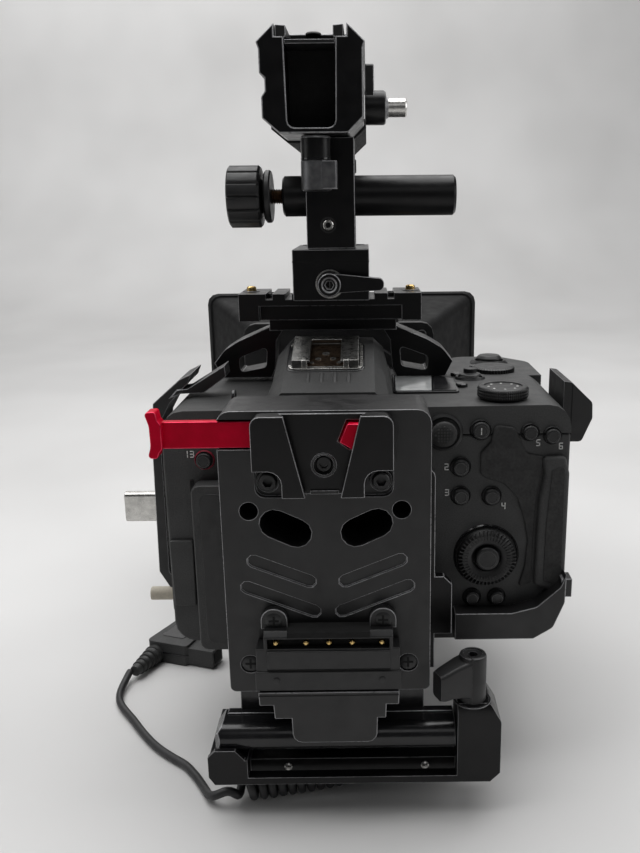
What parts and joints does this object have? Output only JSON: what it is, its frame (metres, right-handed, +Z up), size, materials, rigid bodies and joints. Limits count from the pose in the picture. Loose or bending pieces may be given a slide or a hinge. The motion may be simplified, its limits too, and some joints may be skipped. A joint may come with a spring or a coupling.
{
  "type": "cinema camera rig",
  "caption": "Caged camera with a V-lock battery plate, matte box, top handle, rod and quick-release base; power cord with plug.",
  "frame": {"origin": "middle of the quick-release plate's underside", "axes": "+X to the camera's right, +Y forward along the lens, +Z up"},
  "size_m": [0.1921, 0.2376, 0.2624],
  "materials": {
    "anodised_black": "black anodised, fine satin grain, bright broken edges",
    "anodised_red": "deep red anodised",
    "plastic_black": "satin black moulding",
    "camera_shell": "fine-textured black shell",
    "handle_black": "fine-grained black grip",
    "rubber_black": "matte ribbed rubber",
    "lens_black": "semi-gloss black",
    "screen_cover": "dark display cover",
    "steel": "fine brushed",
    "brass": "polished",
    "circuit_board": "board",
    "cable_black": "satin cable jacket"
  },
  "bodies": {
    "root": {"quick_release_plate": "anodised_black", "clamp_base": "anodised_black", "dovetail_plate": "anodised_black", "battery_plate": "anodised_black", "wedge_receptacle": "anodised_black", "connector_block": "plastic_black", "lower_cover": "anodised_black", "mounting_bracket": "anodised_black", "body_rear_cover": "camera_shell", "body_front_cover": "camera_shell", "body_top_cover": "camera_shell", "sensor_unit": "circuit_board", "power_coupler": "plastic_black", "cord_gland": "rubber_black", "screen_panel": "screen_cover", "hot_shoe": "steel", "lens_mount": "steel", "lens_barrel": "lens_black", "matte_box_frame": "plastic_black", "matte_box_hood": "plastic_black", "cage_top": "anodised_black", "cage_left": "anodised_black", "cage_right": "anodised_black", "cage_bottom": "anodised_black", "nato_rail": "anodised_black", "power_plug": "plastic_black", "cord_lead": "cable_black", "cord_curl": "cable_black", "monitor_port_plug": "steel", "data_port_plug": "steel"},
    "clamp_lever": {"clamp_lever": "anodised_black"},
    "clamp_shoe": {"clamp_shoe": "steel"},
    "release_lever": {"release_lever": "anodised_red"},
    "zoom_ring": {"zoom_ring": "rubber_black"},
    "focus_ring": {"focus_ring": "rubber_black"},
    "mode_dial": {"mode_dial": "plastic_black"},
    "record_button": {"record_button": "plastic_black"},
    "shutter_button": {"shutter_button": "plastic_black"},
    "set_wheel": {"set_wheel": "plastic_black"},
    "set_button": {"set_button": "plastic_black"},
    "joystick": {"joystick": "rubber_black"},
    "button_focus": {"button_focus": "plastic_black"},
    "button_iris": {"button_iris": "plastic_black"},
    "button_lock": {"button_lock": "plastic_black"},
    "button_magnify": {"button_magnify": "plastic_black"},
    "button_display": {"button_display": "plastic_black"},
    "button_menu": {"button_menu": "plastic_black"},
    "button_media": {"button_media": "plastic_black"},
    "button_cancel": {"button_cancel": "plastic_black"},
    "button_rate": {"button_rate": "plastic_black"},
    "rail_pin_left": {"rail_pin_left": "brass"},
    "rail_pin_right": {"rail_pin_right": "brass"},
    "nato_clamp": {"nato_clamp": "anodised_black", "handle_arm": "anodised_black", "top_handle": "handle_black"},
    "nato_clamp_lever": {"nato_clamp_lever": "anodised_black"},
    "rod": {"rod": "anodised_black"},
    "rod_knob": {"rod_knob": "plastic_black"},
    "side_lever": {"side_lever": "anodised_black"},
    "under_lever": {"under_lever": "anodised_black"}
  },
  "joints": [
    {"name": "clamp_lever_turn", "type": "hinge", "parent": "root", "child": "clamp_lever", "pos_m": [0.0486, -0.0776, 0.05], "axis": [0, 0, 1], "range_deg": [0, 110]},
    {"name": "clamp_shoe_slide", "type": "slide", "parent": "root", "child": "clamp_shoe", "axis": [1, 0, 0], "range_m": [0, 0.001]},
    {"name": "release_lever_slide", "type": "slide", "parent": "root", "child": "release_lever", "axis": [1, 0, 0], "range_m": [0, 0.004], "stiffness_N_per_m": 300},
    {"name": "zoom_ring_turn", "type": "hinge", "parent": "root", "child": "zoom_ring", "pos_m": [0, 0.051, 0.096], "axis": [0, 1, 0], "range_deg": [-35, 45]},
    {"name": "focus_ring_turn", "type": "hinge", "parent": "root", "child": "focus_ring", "pos_m": [0, 0.076, 0.096], "axis": [0, 1, 0], "continuous": true},
    {"name": "mode_dial_turn", "type": "hinge", "parent": "root", "child": "mode_dial", "pos_m": [0.063, -0.034, 0.138], "axis": [0, 0, 1], "continuous": true},
    {"name": "record_button_press", "type": "slide", "parent": "root", "child": "record_button", "axis": [0, 0, -1], "range_m": [0, 0.0006], "stiffness_N_per_m": 300},
    {"name": "shutter_button_press", "type": "slide", "parent": "root", "child": "shutter_button", "axis": [0, 0, -1], "range_m": [0, 0.0007], "stiffness_N_per_m": 300},
    {"name": "set_wheel_turn", "type": "hinge", "parent": "root", "child": "set_wheel", "pos_m": [0.0567, -0.0478, 0.0808], "axis": [0, 1, 0], "continuous": true},
    {"name": "set_button_press", "type": "slide", "parent": "root", "child": "set_button", "axis": [0, 1, 0], "range_m": [0, 0.0005], "stiffness_N_per_m": 300},
    {"name": "joystick_tilt", "type": "hinge", "parent": "root", "child": "joystick", "pos_m": [0.0408, -0.0471, 0.127], "axis": [1, 0, 0], "range_deg": [-8, 8], "stiffness_Nm_per_rad": 0.02},
    {"name": "button_focus_press", "type": "slide", "parent": "root", "child": "button_focus", "axis": [0, 1, 0], "range_m": [0, 0.0005], "stiffness_N_per_m": 300},
    {"name": "button_iris_press", "type": "slide", "parent": "root", "child": "button_iris", "axis": [0, 1, 0], "range_m": [0, 0.0005], "stiffness_N_per_m": 300},
    {"name": "button_lock_press", "type": "slide", "parent": "root", "child": "button_lock", "axis": [0, 1, 0], "range_m": [0, 0.0005], "stiffness_N_per_m": 300},
    {"name": "button_magnify_press", "type": "slide", "parent": "root", "child": "button_magnify", "axis": [0, 1, 0], "range_m": [0, 0.0005], "stiffness_N_per_m": 300},
    {"name": "button_display_press", "type": "slide", "parent": "root", "child": "button_display", "axis": [0, 1, 0], "range_m": [0, 0.0005], "stiffness_N_per_m": 300},
    {"name": "button_menu_press", "type": "slide", "parent": "root", "child": "button_menu", "axis": [0, 1, 0], "range_m": [0, 0.0005], "stiffness_N_per_m": 300},
    {"name": "button_media_press", "type": "slide", "parent": "root", "child": "button_media", "axis": [0, 1, 0], "range_m": [0, 0.0005], "stiffness_N_per_m": 300},
    {"name": "button_cancel_press", "type": "slide", "parent": "root", "child": "button_cancel", "axis": [0, 1, 0], "range_m": [0, 0.0005], "stiffness_N_per_m": 300},
    {"name": "button_rate_press", "type": "slide", "parent": "root", "child": "button_rate", "axis": [0, 1, 0], "range_m": [0, 0.0005], "stiffness_N_per_m": 300},
    {"name": "rail_pin_left_press", "type": "slide", "parent": "root", "child": "rail_pin_left", "axis": [0, 0, -1], "range_m": [0, 0.002], "stiffness_N_per_m": 300},
    {"name": "rail_pin_right_press", "type": "slide", "parent": "root", "child": "rail_pin_right", "axis": [0, 0, -1], "range_m": [0, 0.002], "stiffness_N_per_m": 300},
    {"name": "nato_clamp_slide", "type": "slide", "parent": "root", "child": "nato_clamp", "axis": [1, 0, 0], "range_m": [-0.012, 0.012]},
    {"name": "nato_clamp_lever_turn", "type": "hinge", "parent": "nato_clamp", "child": "nato_clamp_lever", "pos_m": [0.0009, -0.0169, 0.1758], "axis": [0, -1, 0], "range_deg": [0, 100]},
    {"name": "rod_slide", "type": "slide", "parent": "nato_clamp", "child": "rod", "axis": [1, 0, 0], "range_m": [-0.03, 0.012]},
    {"name": "rod_knob_turn", "type": "hinge", "parent": "rod", "child": "rod_knob", "pos_m": [-0.03, -0.004, 0.2073], "axis": [1, 0, 0], "continuous": true},
    {"name": "side_lever_turn", "type": "hinge", "parent": "nato_clamp", "child": "side_lever", "pos_m": [0.02, -0.012, 0.2372], "axis": [1, 0, 0], "range_deg": [-90, 90]},
    {"name": "under_lever_turn", "type": "hinge", "parent": "nato_clamp", "child": "under_lever", "pos_m": [-0.0026, -0.0216, 0.215], "axis": [0, 0, 1], "range_deg": [-90, 0]}
  ],
  "couplings": [
    {"joint": "clamp_shoe_slide", "follows": "clamp_lever_turn", "m_per_rad": 0.00052035}
  ]
}
